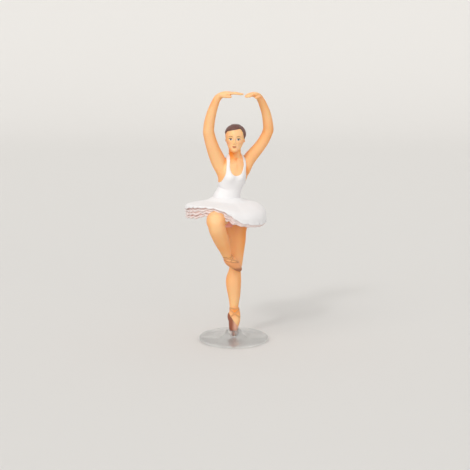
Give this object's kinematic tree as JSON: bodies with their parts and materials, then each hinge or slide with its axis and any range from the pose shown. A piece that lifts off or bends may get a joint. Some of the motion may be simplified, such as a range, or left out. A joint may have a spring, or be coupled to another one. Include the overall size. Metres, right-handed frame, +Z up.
{
  "type": "ballerina figurine",
  "caption": "Painted toy ballerina on a pointed toe, arms raised in a ring, with a frilled tutu, standing in a clear round plastic base.",
  "frame": {"origin": "middle of the flat underside of the clear base, under the toe", "axes": "+Z up through the figure, -Y the way the chest faces, +X towards her left side"},
  "size_m": [0.0411, 0.0405, 0.1198],
  "materials": {
    "painted_figure": "moulded PVC, hand-painted: skin, brown hair, white leotard and tutu, dusty pink shoes",
    "clear_plastic": "clear injection-moulded plastic, polished"
  },
  "bodies": {
    "root": {"ballerina": "painted_figure", "clear_base": "clear_plastic"}
  },
  "joints": []
}
